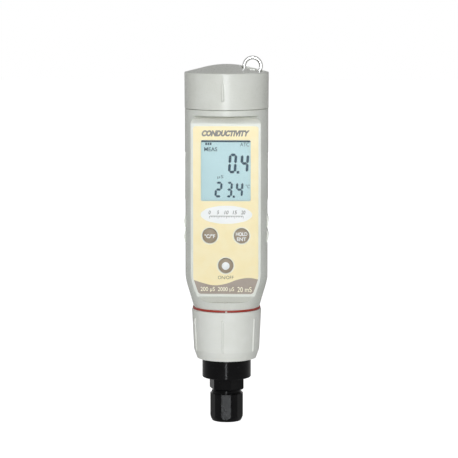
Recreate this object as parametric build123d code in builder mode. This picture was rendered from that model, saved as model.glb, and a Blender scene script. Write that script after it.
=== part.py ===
"""Pocket soil conductivity meter: an upright waterproof barrel with a screw battery cap, a display
window, three buttons, a screw collar and a black sensor adapter that ends in a cable gland.

Millimetres, +Z up. The origin is the centre of the gland nut's lower face, and the front faces -Y.
"""

import os

from build123d import *

os.makedirs("parts", exist_ok=True)

# Clearances
turning_gap = 0.06  # radial, a pin that turns in its hole
sliding_gap = 0.15  # radial, a button in its hole
thread_gap = 0.3  # radial, between screw necks and the nuts over them
seat_gap = 0.05  # between a part and the face it is clamped to
fitting_gap = 0.1  # around parts that drop into a pocket
pressed_gap = 0.02  # round pins and threads that are held tight

# Cable gland, sized from the cable outwards
seal_bore_radius = 2.7
seal_wall = 2.0
seal_height = 6.0
cable_gap = 0.7  # radial, round the cable where it passes the nut
gland_neck_wall = 1.65  # round the seal
nut_wall = 0.6  # round the gland's neck, at the flats
nut_corner_rise = 0.32  # corners beyond the flats
nut_foot_inset = 0.6  # foot inside the flats
nut_foot_height = 2.6
nut_face = 3.0  # thickness round the cable hole
nut_length = 12.6
gland_gap = 1.6  # thread left showing between nut and hexagon
gland_hex_step = 0.5  # hexagon beyond the neck, at the flats
gland_hex_turn = -13.5  # degrees, from corners on the X axis
gland_hex_height = 5.8
gland_hex_edge = 0.6
gland_thread_step = 0.7  # upper thread inside the neck's size
gland_thread_length = 4.2

# Black sensor adapter
adapter_radius = 11.05
adapter_showing = 9.0  # length below the collar
adapter_wall = 2.0
adapter_floor = 4.0
adapter_edge = 0.5
adapter_flange_step = 2.45  # flange beyond the barrel, as far as the body's lower neck
adapter_flange_thickness = 2.2
adapter_plug_gap = 2.5  # radial, between the plug and the neck's bore
adapter_plug_length = 6.8
adapter_seal_thickness = 0.9
pin_count = 6
pin_margin = 2.6  # from the pins' circle out to the socket's edge
pin_radius = 0.5
pin_reach = 5.5  # how far the pins go into the socket
pin_root = 3.0
socket_step = 0.8  # socket inside the plug's size
socket_length = 6.5
socket_flange_thickness = 2.0
socket_hole_gap = 0.15

# Screw collar
collar_wall = 1.92  # round the thread, at the top
collar_flare = 0.92  # from the waist out to the top
collar_foot_flare = 1.4  # from the foot out to the waist
collar_foot_height = 4.0
collar_shelf_height = 11.0
collar_thread_length = 11.5  # above the shelf
collar_edge = 0.5
collar_rib_count = 6
collar_rib_width = 1.3
collar_rib_height = 0.45
collar_rib_bottom = 4.4
collar_rib_length = 14.0
collar_rib_turn = -4.5  # degrees from the front to the nearest rib

# Body, whose upper neck fits round the battery holder and whose lower neck fits the adapter
neck_step = 1.95  # barrel beyond the upper neck
foot_step = 1.4  # foot beyond the lower neck
body_taper_height = 13.0
body_blend_radius = 24.0
body_wall = 2.7
body_shoulder_edge = 0.5
body_seal_thickness = 1.0
body_seal_width = 1.85
lower_neck_wall = 2.0
socket_shelf_thickness = 1.6
upper_neck_length = 9.1
upper_neck_wall = 1.9
cap_seal_width = 1.1
cap_seal_height = 1.4

# Flat front pad, with insets from the barrel's surface
pad_inset = 8.35
pad_wall = 2.0
pad_bottom = 5.7  # above the body's lower edge
pad_top_margin = 6.3  # below the body's shoulder
ledge_drop = 3.7  # from the upper ledge down to the pad
ledge_inset = 5.55
ledge_slot_height = 0.9  # slot under the ledge's lip
ledge_slot_depth = 1.6
scoop_bulge = 0.32  # hollow of the scoop under the slot, in Y and in Z
lower_ledge_drop = 2.2
lower_ledge_inset = 5.35

# Side grips
grip_inset = 0.25
grip_width = 9.6
grip_bottom = 13.6
grip_top = 48.6
grip_ridge_count = 2
grip_ridge_pitch = 6.8
grip_ridge_height = 5.4
grip_ridge_rise = 0.5
grip_ridge_centre = 38.9

# Label and display
label_thickness = 0.3
label_side_margin = 0.92  # from the pad's long edges
label_foot_inset = 2.4  # label narrower at its foot, each side
label_taper_height = 7.0
label_margin_bottom = 1.1
label_margin_top = 1.0
label_corner = 1.2
window_side_margin = 3.6  # from the label's long edges
window_height = 27.2
window_header = 6.35  # label above the window
window_rim = 1.1  # glass that lies under the label
window_thickness = 1.2
window_corner = 0.8
lcd_thickness = 2.2
lcd_rim = 0.9
frame_wall = 0.9
zebra_thickness = 1.8
zebra_height = 1.9

# Buttons
button_radius = 3.25
button_proud = 0.9  # above the label
button_crown = 0.35
button_flange_thickness = 0.8
button_flange_width = 1.0
button_stem_radius = 1.2
button_spacing = 14.2
power_height = 14.0  # above the pad's lower edge
button_row_rise = 13.45  # above the power button
badge_height = 15.6  # from the upper buttons up to the window
button_travel = 0.4
switch_size = 6.0
switch_height = 1.6
switch_plunger_radius = 1.7
switch_plunger_height = 0.5

# Circuit board
board_thickness = 1.6
board_side_margin = 0.7  # board beyond the display glass
board_tail_width = 14.0
board_tail_length = 11.0
board_top_gap = 1.2
chip_size = 7.0
chip_height = 1.2
amplifier_size = 5.0
amplifier_height = 1.5
capacitor_radius = 2.0
capacitor_height = 4.5
chip_spacing = 14.0

# Battery compartment
cell_radius = 5.8
cell_height = 5.4
cell_edge = 0.4
cells_per_stack = 2
cell_clearance = 0.2
well_wall = 1.0
well_floor = 1.0
holder_rim = 1.65  # flange beyond the wells, at the neck's bore
cell_proud = 0.5  # above the holder's flange
flange_thickness = 1.4
spring_height = 1.4
spring_strip = 0.3
spring_width = 3.0
boss_radius = 2.4
boss_height = 8.0
boss_root = 0.4  # how far the bosses run into the neck's wall
screw_radius = 0.9
screw_head_radius = 1.7
screw_head_height = 0.8
tongue_width = 20.0
tongue_height = 7.5
tongue_thickness = 1.5
board_screw_spacing = 14.0
screw_slot_width = 0.5
screw_slot_depth = 0.4

# Battery cap
cap_gap = 0.2
cap_headroom = 7.1  # from the upper neck's top to the cap's rim
cap_foot_step = 0.1  # foot beyond the barrel
cap_rim_step = 0.15  # rim beyond the barrel
cap_rim_edge = 0.5
cap_wall = 2.0
dome_crown_radius = 9.8
dome_slope = 0.25
cap_rib_count = 3
cap_rib_turn = -3.3  # degrees from the front to the nearest rib
cap_rib_top_width = 0.8
cap_rib_top_rise = 0.1
cap_rib_foot_width = 1.7
cap_rib_foot_rise = 0.6
cap_rib_length = 10.2
cap_rib_foot = 4.3
stud_radius = 1.5
stud_head_radius = 2.2
stud_head_height = 0.6
stud_boss_radius = 2.6
bridge_thickness = 0.4
bridge_width = 6.0
bridge_rise = 1.5
bridge_waist = 3.1
bridge_overreach = 3.15  # beyond the middles of the cells

# Lanyard ring
ring_radius = 3.75
ring_wire_radius = 0.85
ring_inset = 7.15  # from the cap's rim
ring_y = -4.2
ring_above_dome = 1.25  # from the dome's surface up to the ring's centre
ring_swing_room = 2.4  # each side of the wire
ring_bar_width = 2.4
pocket_gap = 0.35
pocket_wall = 1.2
ring_bar_gap = 0.35

# Gland, from the cable outwards
cable_hole_radius = seal_bore_radius + cable_gap
seal_radius = seal_bore_radius + seal_wall
nut_neck_radius = seal_radius + fitting_gap + gland_neck_wall
nut_flats = 2 * (nut_neck_radius + fitting_gap + nut_wall)
nut_corner_radius = nut_flats / 2 + nut_corner_rise
nut_foot_radius = nut_flats / 2 - nut_foot_inset
gland_hex_flats = 2 * (nut_neck_radius + gland_hex_step)
gland_thread_radius = nut_neck_radius - gland_thread_step

# Lower neck, with what is clamped and plugged into it
lower_neck_radius = adapter_radius + adapter_flange_step
lower_bore_radius = lower_neck_radius - lower_neck_wall
body_foot_radius = lower_neck_radius + foot_step
adapter_plug_radius = lower_bore_radius - adapter_plug_gap
socket_radius = adapter_plug_radius - socket_step
pin_circle_radius = socket_radius - pin_margin
collar_top_radius = lower_neck_radius + thread_gap + collar_wall
collar_waist_radius = collar_top_radius - collar_flare
collar_foot_radius = collar_waist_radius - collar_foot_flare
collar_length = collar_shelf_height + collar_thread_length

# Upper neck, barrel and cap, from the cells outwards
well_radius = cell_radius + cell_clearance
stack_offset = well_radius + well_wall / 4
upper_bore_radius = stack_offset + well_radius + well_wall + holder_rim
upper_neck_radius = upper_bore_radius + upper_neck_wall
body_radius = upper_neck_radius + neck_step
cavity_radius = body_radius - body_wall
boss_offset = upper_bore_radius + boss_root - boss_radius
cap_bore_radius = upper_neck_radius + thread_gap
cap_foot_radius = body_radius + cap_foot_step
cap_rim_radius = body_radius + cap_rim_step
ring_x = cap_rim_radius - ring_inset
ring_distance = (ring_x**2 + ring_y**2) ** 0.5

# Front face, across
pad_depth = body_radius - pad_inset
ledge_depth = body_radius - ledge_inset
lower_ledge_depth = body_radius - lower_ledge_inset
pad_half_width = (body_radius**2 - pad_depth**2) ** 0.5
label_half_width = pad_half_width - label_side_margin
label_foot_half_width = label_half_width - label_foot_inset
window_width = 2 * (label_half_width - window_side_margin)

# Heights along the axis, from the gland nut's lower face
hex_bottom = nut_length + gland_gap
adapter_bottom = hex_bottom + gland_hex_height
collar_bottom = adapter_bottom + adapter_showing
collar_top = collar_bottom + collar_length
shelf_top = collar_bottom + collar_shelf_height
flange_bottom = shelf_top + seat_gap
flange_top = flange_bottom + adapter_flange_thickness
neck_bottom = flange_top + adapter_seal_thickness + seat_gap
body_bottom = collar_top + body_seal_thickness

# Front face, from its foot up
pad_low = body_bottom + pad_bottom
label_low = pad_low + label_margin_bottom
power_row = pad_low + power_height
button_row = power_row + button_row_rise
window_centre = button_row + badge_height + window_height / 2
label_high = window_centre + window_height / 2 + window_header
pad_high = label_high + label_margin_top
ledge_high = pad_high + ledge_drop
slot_low = ledge_high - ledge_slot_height
body_top = pad_high + pad_top_margin
button_places = [(-button_spacing / 2, button_row), (button_spacing / 2, button_row), (0, power_row)]

# Cap's heights
neck_top = body_top + upper_neck_length
cap_bottom = body_top + cap_gap
cap_rim = neck_top + cap_headroom
crown_edge = cap_rim + (cap_rim_radius - dome_crown_radius) * dome_slope
dome_top = crown_edge + dome_crown_radius * dome_slope / 2

# Inside, front to back
inner_face = -pad_depth + pad_wall  # y of the wall behind the pad
lcd_front = inner_face + fitting_gap
lcd_back = lcd_front + lcd_thickness
board_front = lcd_back + zebra_height
board_back = board_front + board_thickness
lcd_width = window_width + 2 * lcd_rim
lcd_height = window_height + 2 * lcd_rim
board_width = lcd_width + 2 * board_side_margin

# Inside, along the axis
plug_top = flange_top + adapter_plug_length
socket_bottom = plug_top + thread_gap
socket_seat = socket_bottom + socket_length
socket_top = socket_seat + socket_flange_thickness
flange_seat = neck_top - flange_thickness
cell_top = neck_top + cell_proud
well_bottom = cell_top - cells_per_stack * cell_height - spring_height
holder_bottom = well_bottom - well_floor
board_high = holder_bottom - board_top_gap
board_low = socket_top + seat_gap
board_screw_height = board_high - tongue_height / 2

# Inside the cap
bridge_reach = stack_offset + bridge_overreach
bridge_foot = cell_top + seat_gap
bridge_roof = bridge_foot + bridge_rise
bridge_top = bridge_roof + bridge_thickness
stud_gap = thread_gap - fitting_gap  # above and below the bridge

# Lanyard ring
ring_surface = cap_rim + (cap_rim_radius - ring_distance) * dome_slope
ring_height = ring_surface + ring_above_dome
ring_low = ring_height - ring_radius  # wire centre under the bar
pocket_floor = ring_low - ring_wire_radius - pocket_gap
pocket_length = 2 * (ring_radius + ring_wire_radius + pocket_gap)
pocket_width = 2 * (ring_wire_radius + ring_swing_room)
bar_low = ring_low + ring_wire_radius + ring_bar_gap


def export_piece(piece, name):
    """Label a finished piece and write its file."""
    piece.part.label = name
    export_step(piece.part, f"parts/{name}.step")


def ridge(foot_radius, foot_reach, foot_height, top_radius, top_reach, top_height):
    """Upright grip ridge on the front: a tapered rod with ball ends, reach being the ends' distance out."""
    foot = Vector(0, foot_radius - foot_reach, foot_height)
    run = Vector(0, top_radius - top_reach, top_height) - foot
    with BuildPart() as rod:
        with BuildSketch(Plane(foot, (1, 0, 0), Vector(1, 0, 0).cross(run))):
            with BuildLine():
                foot_ball = RadiusArc((0, -foot_radius), (foot_radius, 0), -foot_radius)
                top_ball = RadiusArc((top_radius, run.length), (0, run.length + top_radius), -top_radius)
                Line(foot_ball @ 1, top_ball @ 0)
                Line(top_ball @ 1, foot_ball @ 0)
            make_face()
        revolve(axis=Axis(foot, run))
    return rod.part


def ring_profile(inner, outer, low, high):
    """Profile of a plain ring between two radii and two heights."""
    with BuildSketch() as profile:
        with Locations(((inner + outer) / 2, (low + high) / 2)):
            Rectangle(outer - inner, high - low)
    return profile.sketch


# Gland nut: a hexagon turned round at its corners, hollow over the gland's neck
with BuildPart() as gland_nut:
    with BuildSketch():
        RegularPolygon(nut_flats / 2, 6, major_radius=False)
    extrude(amount=nut_length)
    with BuildSketch(Plane.XZ):
        with BuildLine():
            Polyline((nut_foot_radius, 0), (0, 0), (0, nut_length), (nut_corner_radius, nut_length))
            Line((nut_corner_radius, nut_length), (nut_corner_radius, nut_foot_height))
            RadiusArc((nut_corner_radius, nut_foot_height), (nut_foot_radius, 0), nut_foot_height * 2)
        make_face()
    revolve(mode=Mode.INTERSECT)
    with BuildSketch(Plane.XY.offset(nut_face)):
        Circle(nut_neck_radius + fitting_gap)
    extrude(amount=nut_length, mode=Mode.SUBTRACT)
    Hole(cable_hole_radius)
export_piece(gland_nut, "gland_nut")

# Gland body: hexagon, thread into the adapter above, and neck into the nut below
with BuildPart() as gland_body:
    with BuildSketch(Plane.XY.offset(hex_bottom)):
        RegularPolygon(gland_hex_flats / 2, 6, major_radius=False, rotation=gland_hex_turn)
    extrude(amount=gland_hex_height)
    chamfer(gland_body.faces().sort_by(Axis.Z)[0].edges(), gland_hex_edge)
    with BuildSketch(Plane.XY.offset(adapter_bottom)):
        Circle(gland_thread_radius)
    extrude(amount=gland_thread_length)
    with BuildSketch(Plane.XY.offset(nut_face + seat_gap)):
        Circle(nut_neck_radius)
    extrude(until=Until.NEXT)
    with BuildSketch(Plane.XY.offset(nut_face + seat_gap)):
        Circle(seal_radius + fitting_gap)
    extrude(amount=seal_height, mode=Mode.SUBTRACT)
    with Locations((0, 0, adapter_bottom)):
        Hole(cable_hole_radius)
export_piece(gland_body, "gland_body")

# Rubber sleeve that the nut squeezes on to the cable
with BuildPart() as gland_seal:
    with BuildSketch(Plane.XY.offset(nut_face + seat_gap)):
        Circle(seal_radius)
        Circle(seal_bore_radius, mode=Mode.SUBTRACT)
    extrude(amount=seal_height)
export_piece(gland_seal, "gland_seal")

# Sensor adapter: hollow barrel, clamping flange and plug
with BuildPart() as sensor_adapter:
    with BuildSketch(Plane.XZ):
        with BuildLine():
            Polyline(
                (0, adapter_bottom),
                (adapter_radius, adapter_bottom),
                (adapter_radius, flange_bottom),
                (lower_neck_radius - fitting_gap, flange_bottom),
                (lower_neck_radius - fitting_gap, flange_top),
                (adapter_plug_radius, flange_top),
                (adapter_plug_radius, plug_top),
                (0, plug_top),
                close=True,
            )
        make_face()
    revolve()
    fillet(sensor_adapter.edges().group_by(Axis.Z)[0], adapter_edge)
    with BuildSketch(Plane.XY.offset(adapter_bottom + adapter_floor)):
        Circle(adapter_radius - adapter_wall)
    extrude(amount=flange_bottom - adapter_bottom - adapter_floor, mode=Mode.SUBTRACT)
    with BuildSketch(Plane.XY.offset(flange_bottom)):
        Circle(adapter_plug_radius - adapter_wall)
    extrude(amount=plug_top - pin_root - flange_bottom, mode=Mode.SUBTRACT)
    with BuildSketch(Plane.XY.offset(adapter_bottom)):
        Circle(gland_thread_radius + pressed_gap)
    extrude(amount=adapter_floor, mode=Mode.SUBTRACT)
    with BuildSketch(Plane.XY.offset(plug_top)):
        with PolarLocations(pin_circle_radius, pin_count):
            Circle(pin_radius + pressed_gap)
    extrude(amount=-pin_root, mode=Mode.SUBTRACT)
export_piece(sensor_adapter, "sensor_adapter")

# Contact pins of the adapter's plug
with BuildPart() as contact_pins:
    with BuildSketch(Plane.XY.offset(plug_top - pin_root)):
        with PolarLocations(pin_circle_radius, pin_count):
            Circle(pin_radius)
    extrude(amount=pin_root + pin_reach)
    chamfer(contact_pins.edges().group_by(Axis.Z)[-1], pin_radius / 3)
export_piece(contact_pins, "contact_pins")

# Flat seal between the adapter's flange and the body's lower neck
with BuildPart() as adapter_seal_ring:
    with BuildSketch(Plane.XZ):
        flange_radius = lower_neck_radius - fitting_gap
        add(ring_profile(lower_bore_radius, flange_radius, flange_top, neck_bottom - seat_gap))
    revolve()
export_piece(adapter_seal_ring, "adapter_seal_ring")

# Screw collar: bored over the adapter below its shelf and over the body's neck above
with BuildPart() as collar_nut:
    with BuildSketch(Plane.XZ):
        with BuildLine():
            Polyline(
                (adapter_radius + thread_gap, collar_bottom),
                (collar_foot_radius, collar_bottom),
                (collar_waist_radius, collar_bottom + collar_foot_height),
                (collar_top_radius, collar_top),
                (lower_neck_radius + thread_gap, collar_top),
                (lower_neck_radius + thread_gap, shelf_top),
                (adapter_radius + thread_gap, shelf_top),
                close=True,
            )
        make_face()
    revolve()
    collar_rims = collar_nut.edges().filter_by(GeomType.CIRCLE).group_by(Axis.Z)[-1]
    fillet(collar_rims.sort_by(SortBy.RADIUS)[-1], collar_edge)
    collar_slope = (collar_top_radius - collar_waist_radius) / (collar_length - collar_foot_height)
    collar_ridge_low = collar_waist_radius + collar_rib_height
    collar_ridge = ridge(
        collar_rib_width / 2,
        collar_ridge_low,
        collar_bottom + collar_rib_bottom,
        collar_rib_width / 2,
        collar_ridge_low + collar_slope * collar_rib_length,
        collar_bottom + collar_rib_bottom + collar_rib_length,
    )
    with PolarLocations(0, collar_rib_count, start_angle=collar_rib_turn):
        add(collar_ridge)
export_piece(collar_nut, "collar_nut")

# Red seal ring in the joint between body and collar
with BuildPart() as body_seal_ring:
    with BuildSketch(Plane.XZ):
        seal_inner = lower_neck_radius + seat_gap
        seal_outer = lower_neck_radius + body_seal_width
        add(ring_profile(seal_inner, seal_outer, collar_top + seat_gap, body_bottom))
    revolve()
    seal_edges = body_seal_ring.edges().filter_by(GeomType.CIRCLE).sort_by(SortBy.RADIUS)
    fillet(seal_edges[-2:], body_seal_thickness / 3)
export_piece(body_seal_ring, "body_seal_ring")

# Hollow inside of the body, with its flat front behind the pad
with BuildPart() as body_cavity:
    with BuildSketch(Plane.XZ):
        with BuildLine():
            Polyline(
                (0, neck_bottom),
                (lower_bore_radius, neck_bottom),
                (lower_bore_radius, socket_seat - socket_shelf_thickness),
                (socket_radius + fitting_gap, socket_seat - socket_shelf_thickness),
                (socket_radius + fitting_gap, socket_seat),
                (lower_bore_radius, socket_seat),
                (lower_bore_radius, socket_top),
                (cavity_radius, body_bottom + body_taper_height + body_wall),
                (cavity_radius, ledge_high),
                (upper_bore_radius, ledge_high + pad_wall),
                (upper_bore_radius, neck_top),
                (0, neck_top),
                close=True,
            )
        make_face()
    revolve()
    with Locations((0, inner_face, socket_seat)):
        Box(
            2 * body_radius,
            body_radius,
            ledge_high + pad_wall - socket_seat,
            align=(Align.CENTER, Align.MAX, Align.MIN),
            mode=Mode.SUBTRACT,
        )

# Body shell: flared foot, barrel, two threaded necks and the flat front pad
with BuildPart() as body_shell:
    with BuildSketch(Plane.XZ):
        with BuildLine():
            Polyline(
                (0, neck_bottom),
                (lower_neck_radius, neck_bottom),
                (lower_neck_radius, body_bottom),
                (body_foot_radius, body_bottom),
                (body_radius, body_bottom + body_taper_height),
                (body_radius, body_top),
                (upper_neck_radius, body_top),
                (upper_neck_radius, neck_top),
                (0, neck_top),
                close=True,
            )
        body_outline = make_face()
        taper_end = body_outline.vertices().filter_by_position(
            Axis.Y, body_bottom + body_taper_height - seat_gap, body_bottom + body_taper_height + seat_gap
        )
        fillet(taper_end, body_blend_radius)
    revolve()
    shoulder_edges = body_shell.edges().filter_by(GeomType.CIRCLE).filter_by_position(
        Axis.Z, body_top - seat_gap, body_top + seat_gap
    )
    fillet(shoulder_edges.sort_by(SortBy.RADIUS)[-1], body_shoulder_edge)
    with BuildSketch(Plane.YZ) as pad_cut:
        with BuildLine():
            scoop = ThreePointArc(
                (-pad_depth, pad_high),
                (scoop_bulge - (pad_depth + ledge_depth) / 2, scoop_bulge + (pad_high + slot_low) / 2),
                (-ledge_depth, slot_low),
            )
            Polyline(
                scoop @ 1,
                (ledge_slot_depth - ledge_depth, ledge_high),
                (-2 * body_radius, ledge_high),
                (-2 * body_radius, pad_low - lower_ledge_drop),
                (-lower_ledge_depth, pad_low - lower_ledge_drop),
                (-pad_depth, pad_low),
                scoop @ 0,
            )
        make_face()
    extrude(amount=body_radius, both=True, mode=Mode.SUBTRACT)
    add(body_cavity.part, mode=Mode.SUBTRACT)
    with Locations((body_radius - grip_inset, 0, body_bottom + grip_bottom)):
        Box(
            body_radius,
            grip_width,
            grip_top - grip_bottom,
            align=(Align.MIN, Align.CENTER, Align.MIN),
            mode=Mode.SUBTRACT,
        )
    grip_face = body_radius - grip_inset
    for ridge_number in range(grip_ridge_count):
        ridge_centre = body_bottom + grip_ridge_centre - ridge_number * grip_ridge_pitch
        with BuildSketch(Plane.XZ):
            with BuildLine():
                arch = ThreePointArc(
                    (grip_face, ridge_centre - grip_ridge_height / 2),
                    (grip_face + grip_ridge_rise, ridge_centre),
                    (grip_face, ridge_centre + grip_ridge_height / 2),
                )
                Polyline(
                    arch @ 1,
                    (grip_face - grip_inset, ridge_centre + grip_ridge_height / 2),
                    (grip_face - grip_inset, ridge_centre - grip_ridge_height / 2),
                    arch @ 0,
                )
            make_face()
        extrude(amount=grip_width / 2 - grip_inset, both=True)
    split(bisect_by=Plane.YZ, keep=Keep.TOP)
    mirror(about=Plane.YZ)
    with BuildSketch(Plane.XZ.offset(pad_depth)):
        with Locations((0, window_centre)):
            RectangleRounded(
                window_width + 2 * (window_rim + fitting_gap),
                window_height + 2 * (window_rim + fitting_gap),
                window_corner,
            )
    extrude(amount=-window_thickness - seat_gap, mode=Mode.SUBTRACT)
    with BuildSketch(Plane.XZ.offset(pad_depth)):
        with Locations((0, window_centre)):
            RectangleRounded(window_width, window_height, window_corner)
        with Locations(*button_places):
            Circle(button_radius + sliding_gap)
    extrude(amount=-pad_wall, mode=Mode.SUBTRACT)
    with BuildSketch(Plane.XZ):
        groove_floor = upper_neck_radius - cap_seal_width
        groove_low = body_top + cap_seal_height / 2
        groove_high = groove_low + cap_seal_height
        add(ring_profile(groove_floor, body_radius, groove_low, groove_high))
    revolve(mode=Mode.SUBTRACT)
    for side in (-1, 1):
        with BuildSketch(Plane.XY.offset(flange_seat)):
            with Locations((0, side * boss_offset)):
                Circle(boss_radius)
        extrude(amount=-boss_height)
        with BuildSketch(Plane.XY.offset(flange_seat)):
            with Locations((0, side * boss_offset)):
                Circle(screw_radius)
        extrude(amount=-boss_height + boss_radius, mode=Mode.SUBTRACT)
export_piece(body_shell, "body_shell")

# Seal ring in the upper neck's groove
with BuildPart() as cap_seal_ring:
    with BuildSketch(Plane.XZ):
        add(ring_profile(groove_floor + seat_gap, upper_neck_radius, groove_low, groove_high))
    revolve()
export_piece(cap_seal_ring, "cap_seal_ring")

# Label film, with the display opening and the button holes
with BuildPart() as label_overlay:
    with BuildSketch(Plane.XZ.offset(pad_depth)):
        with BuildLine():
            Polyline(
                (-label_foot_half_width, label_low),
                (label_foot_half_width, label_low),
                (label_half_width, label_low + label_taper_height),
                (label_half_width, label_high),
                (-label_half_width, label_high),
                (-label_half_width, label_low + label_taper_height),
                close=True,
            )
        label_face = make_face()
        fillet(label_face.vertices(), label_corner)
        with Locations((0, window_centre)):
            RectangleRounded(window_width, window_height, window_corner, mode=Mode.SUBTRACT)
        with Locations(*button_places):
            Circle(button_radius + 2 * sliding_gap, mode=Mode.SUBTRACT)
    extrude(amount=label_thickness)
export_piece(label_overlay, "label_overlay")

# Clear window, set in the wall's rebate under the label
with BuildPart() as display_window:
    with BuildSketch(Plane.XZ.offset(pad_depth)):
        with Locations((0, window_centre)):
            RectangleRounded(window_width + 2 * window_rim, window_height + 2 * window_rim, window_corner)
    extrude(amount=-window_thickness)
export_piece(display_window, "display_window")

# Display glass
with BuildPart() as lcd_panel:
    with BuildSketch(Plane.XZ.offset(-lcd_front)):
        with Locations((0, window_centre)):
            Rectangle(lcd_width, lcd_height)
    extrude(amount=-lcd_thickness)
export_piece(lcd_panel, "lcd_panel")

# Frame that holds the display glass over its contact strips on the board
frame_front = lcd_front + frame_wall
with BuildPart() as lcd_frame:
    with BuildSketch(Plane.XZ.offset(-frame_front)):
        with Locations((0, window_centre)):
            frame_inner = (lcd_width + 2 * fitting_gap, lcd_height + 2 * fitting_gap)
            RectangleRounded(frame_inner[0] + 2 * frame_wall, frame_inner[1] + 2 * frame_wall, frame_wall)
            Rectangle(*frame_inner, mode=Mode.SUBTRACT)
    extrude(amount=frame_front - board_front)
export_piece(lcd_frame, "lcd_frame")

# Two rubber contact strips between the display glass and the board
with BuildPart() as contact_strips:
    with BuildSketch(Plane.XZ.offset(-lcd_back)):
        with Locations((0, window_centre)):
            with GridLocations(0, lcd_height - zebra_thickness, 1, 2):
                Rectangle(window_width, zebra_thickness)
    extrude(amount=-zebra_height)
export_piece(contact_strips, "contact_strips")

# Circuit board, with a narrow tail down to the sensor socket
with BuildPart() as circuit_board:
    with BuildSketch(Plane.XZ.offset(-board_front)):
        with BuildLine():
            Polyline(
                (-board_tail_width / 2, board_low),
                (board_tail_width / 2, board_low),
                (board_tail_width / 2, board_low + board_tail_length / 2),
                (board_width / 2, board_low + board_tail_length),
                (board_width / 2, board_high),
                (-board_width / 2, board_high),
                (-board_width / 2, board_low + board_tail_length),
                (-board_tail_width / 2, board_low + board_tail_length / 2),
                close=True,
            )
        make_face()
        with Locations((0, board_screw_height)):
            with GridLocations(board_screw_spacing, 0, 2, 1):
                Circle(screw_radius + fitting_gap, mode=Mode.SUBTRACT)
    extrude(amount=-board_thickness)
export_piece(circuit_board, "circuit_board")

# Controller, amplifier and buffer capacitor on the back of the board
with BuildPart() as board_chips:
    with BuildSketch(Plane.XZ.offset(-board_back)):
        with Locations((0, window_centre)):
            Rectangle(chip_size, chip_size)
    extrude(amount=-chip_height)
    with BuildSketch(Plane.XZ.offset(-board_back)):
        with Locations((0, window_centre - chip_spacing)):
            Rectangle(amplifier_size, amplifier_size)
    extrude(amount=-amplifier_height)
    with BuildSketch(Plane.XZ.offset(-board_back)):
        with Locations((0, window_centre - 2 * chip_spacing)):
            Circle(capacitor_radius)
    extrude(amount=-capacitor_height)
export_piece(board_chips, "board_chips")

# Three tactile switches, one behind each button
switch_face = board_front - switch_height
plunger_face = switch_face - switch_plunger_height
with BuildPart() as tactile_switches:
    with BuildSketch(Plane.XZ.offset(-board_front)):
        with Locations(*button_places):
            Rectangle(switch_size, switch_size)
    extrude(amount=switch_height)
    with BuildSketch(Plane.XZ.offset(-switch_face)):
        with Locations(*button_places):
            Circle(switch_plunger_radius)
    extrude(amount=switch_plunger_height)
export_piece(tactile_switches, "tactile_switches")

# Buttons: crowned caps that pass the wall, each with a flange and a stem behind it
button_rim = -pad_depth - label_thickness - button_proud
button_flange_front = inner_face + seat_gap
button_flange_back = button_flange_front + button_flange_thickness
button_stem_back = plunger_face - button_travel - seat_gap
button_names = ["unit_button", "hold_button", "power_button"]
for button_name, (button_x, button_z) in zip(button_names, button_places):
    with BuildPart() as button:
        with BuildSketch(Plane((button_x, 0, button_z))):
            with BuildLine():
                Polyline(
                    (0, button_rim - button_crown),
                    (0, button_stem_back),
                    (button_stem_radius, button_stem_back),
                    (button_stem_radius, button_flange_back),
                    (button_radius + button_flange_width, button_flange_back),
                    (button_radius + button_flange_width, button_flange_front),
                    (button_radius, button_flange_front),
                    (button_radius, button_rim + button_crown),
                )
                crown = (0, button_rim - button_crown)
                TangentArc(crown, (button_radius, button_rim + button_crown), tangent=(1, 0))
            make_face()
        revolve(axis=Axis((button_x, 0, button_z), (0, 1, 0)))
    export_piece(button, button_name)

# Sensor socket: a holed block through the body's shelf, under the board's tail
with BuildPart() as sensor_socket:
    with BuildSketch(Plane.XY.offset(socket_bottom)):
        Circle(socket_radius)
    extrude(amount=socket_length)
    with BuildSketch(Plane.XY.offset(socket_seat)):
        Circle(lower_bore_radius - fitting_gap)
        with Locations((0, inner_face + fitting_gap)):
            Rectangle(2 * body_radius, body_radius, align=(Align.CENTER, Align.MAX), mode=Mode.SUBTRACT)
    extrude(amount=socket_flange_thickness)
    with BuildSketch(Plane.XY.offset(socket_bottom)):
        with PolarLocations(pin_circle_radius, pin_count):
            Circle(pin_radius + socket_hole_gap)
    extrude(amount=socket_length, mode=Mode.SUBTRACT)
export_piece(sensor_socket, "sensor_socket")

# Battery holder: flange on the body's bosses, two round wells, and a tongue behind the board
with BuildPart() as battery_holder:
    with BuildSketch(Plane.XY.offset(holder_bottom)):
        SlotCenterToCenter(2 * stack_offset, 2 * (well_radius + well_wall))
    extrude(amount=flange_seat - holder_bottom)
    with BuildSketch(Plane.XY.offset(flange_seat)):
        Circle(upper_bore_radius - fitting_gap)
        with Locations((0, -boss_offset), (0, boss_offset)):
            Circle(screw_radius + fitting_gap, mode=Mode.SUBTRACT)
    extrude(amount=flange_thickness)
    with BuildSketch(Plane.XY.offset(well_bottom)):
        with GridLocations(2 * stack_offset, 0, 2, 1):
            Circle(well_radius)
    extrude(amount=neck_top - well_bottom, mode=Mode.SUBTRACT)
    with BuildSketch(Plane.XZ.offset(-board_back - seat_gap)):
        with Locations((0, holder_bottom)):
            Rectangle(tongue_width, tongue_height, align=(Align.CENTER, Align.MAX))
        with Locations((0, board_screw_height)):
            with GridLocations(board_screw_spacing, 0, 2, 1):
                Circle(screw_radius, mode=Mode.SUBTRACT)
    extrude(amount=-tongue_thickness)
export_piece(battery_holder, "battery_holder")

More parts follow.
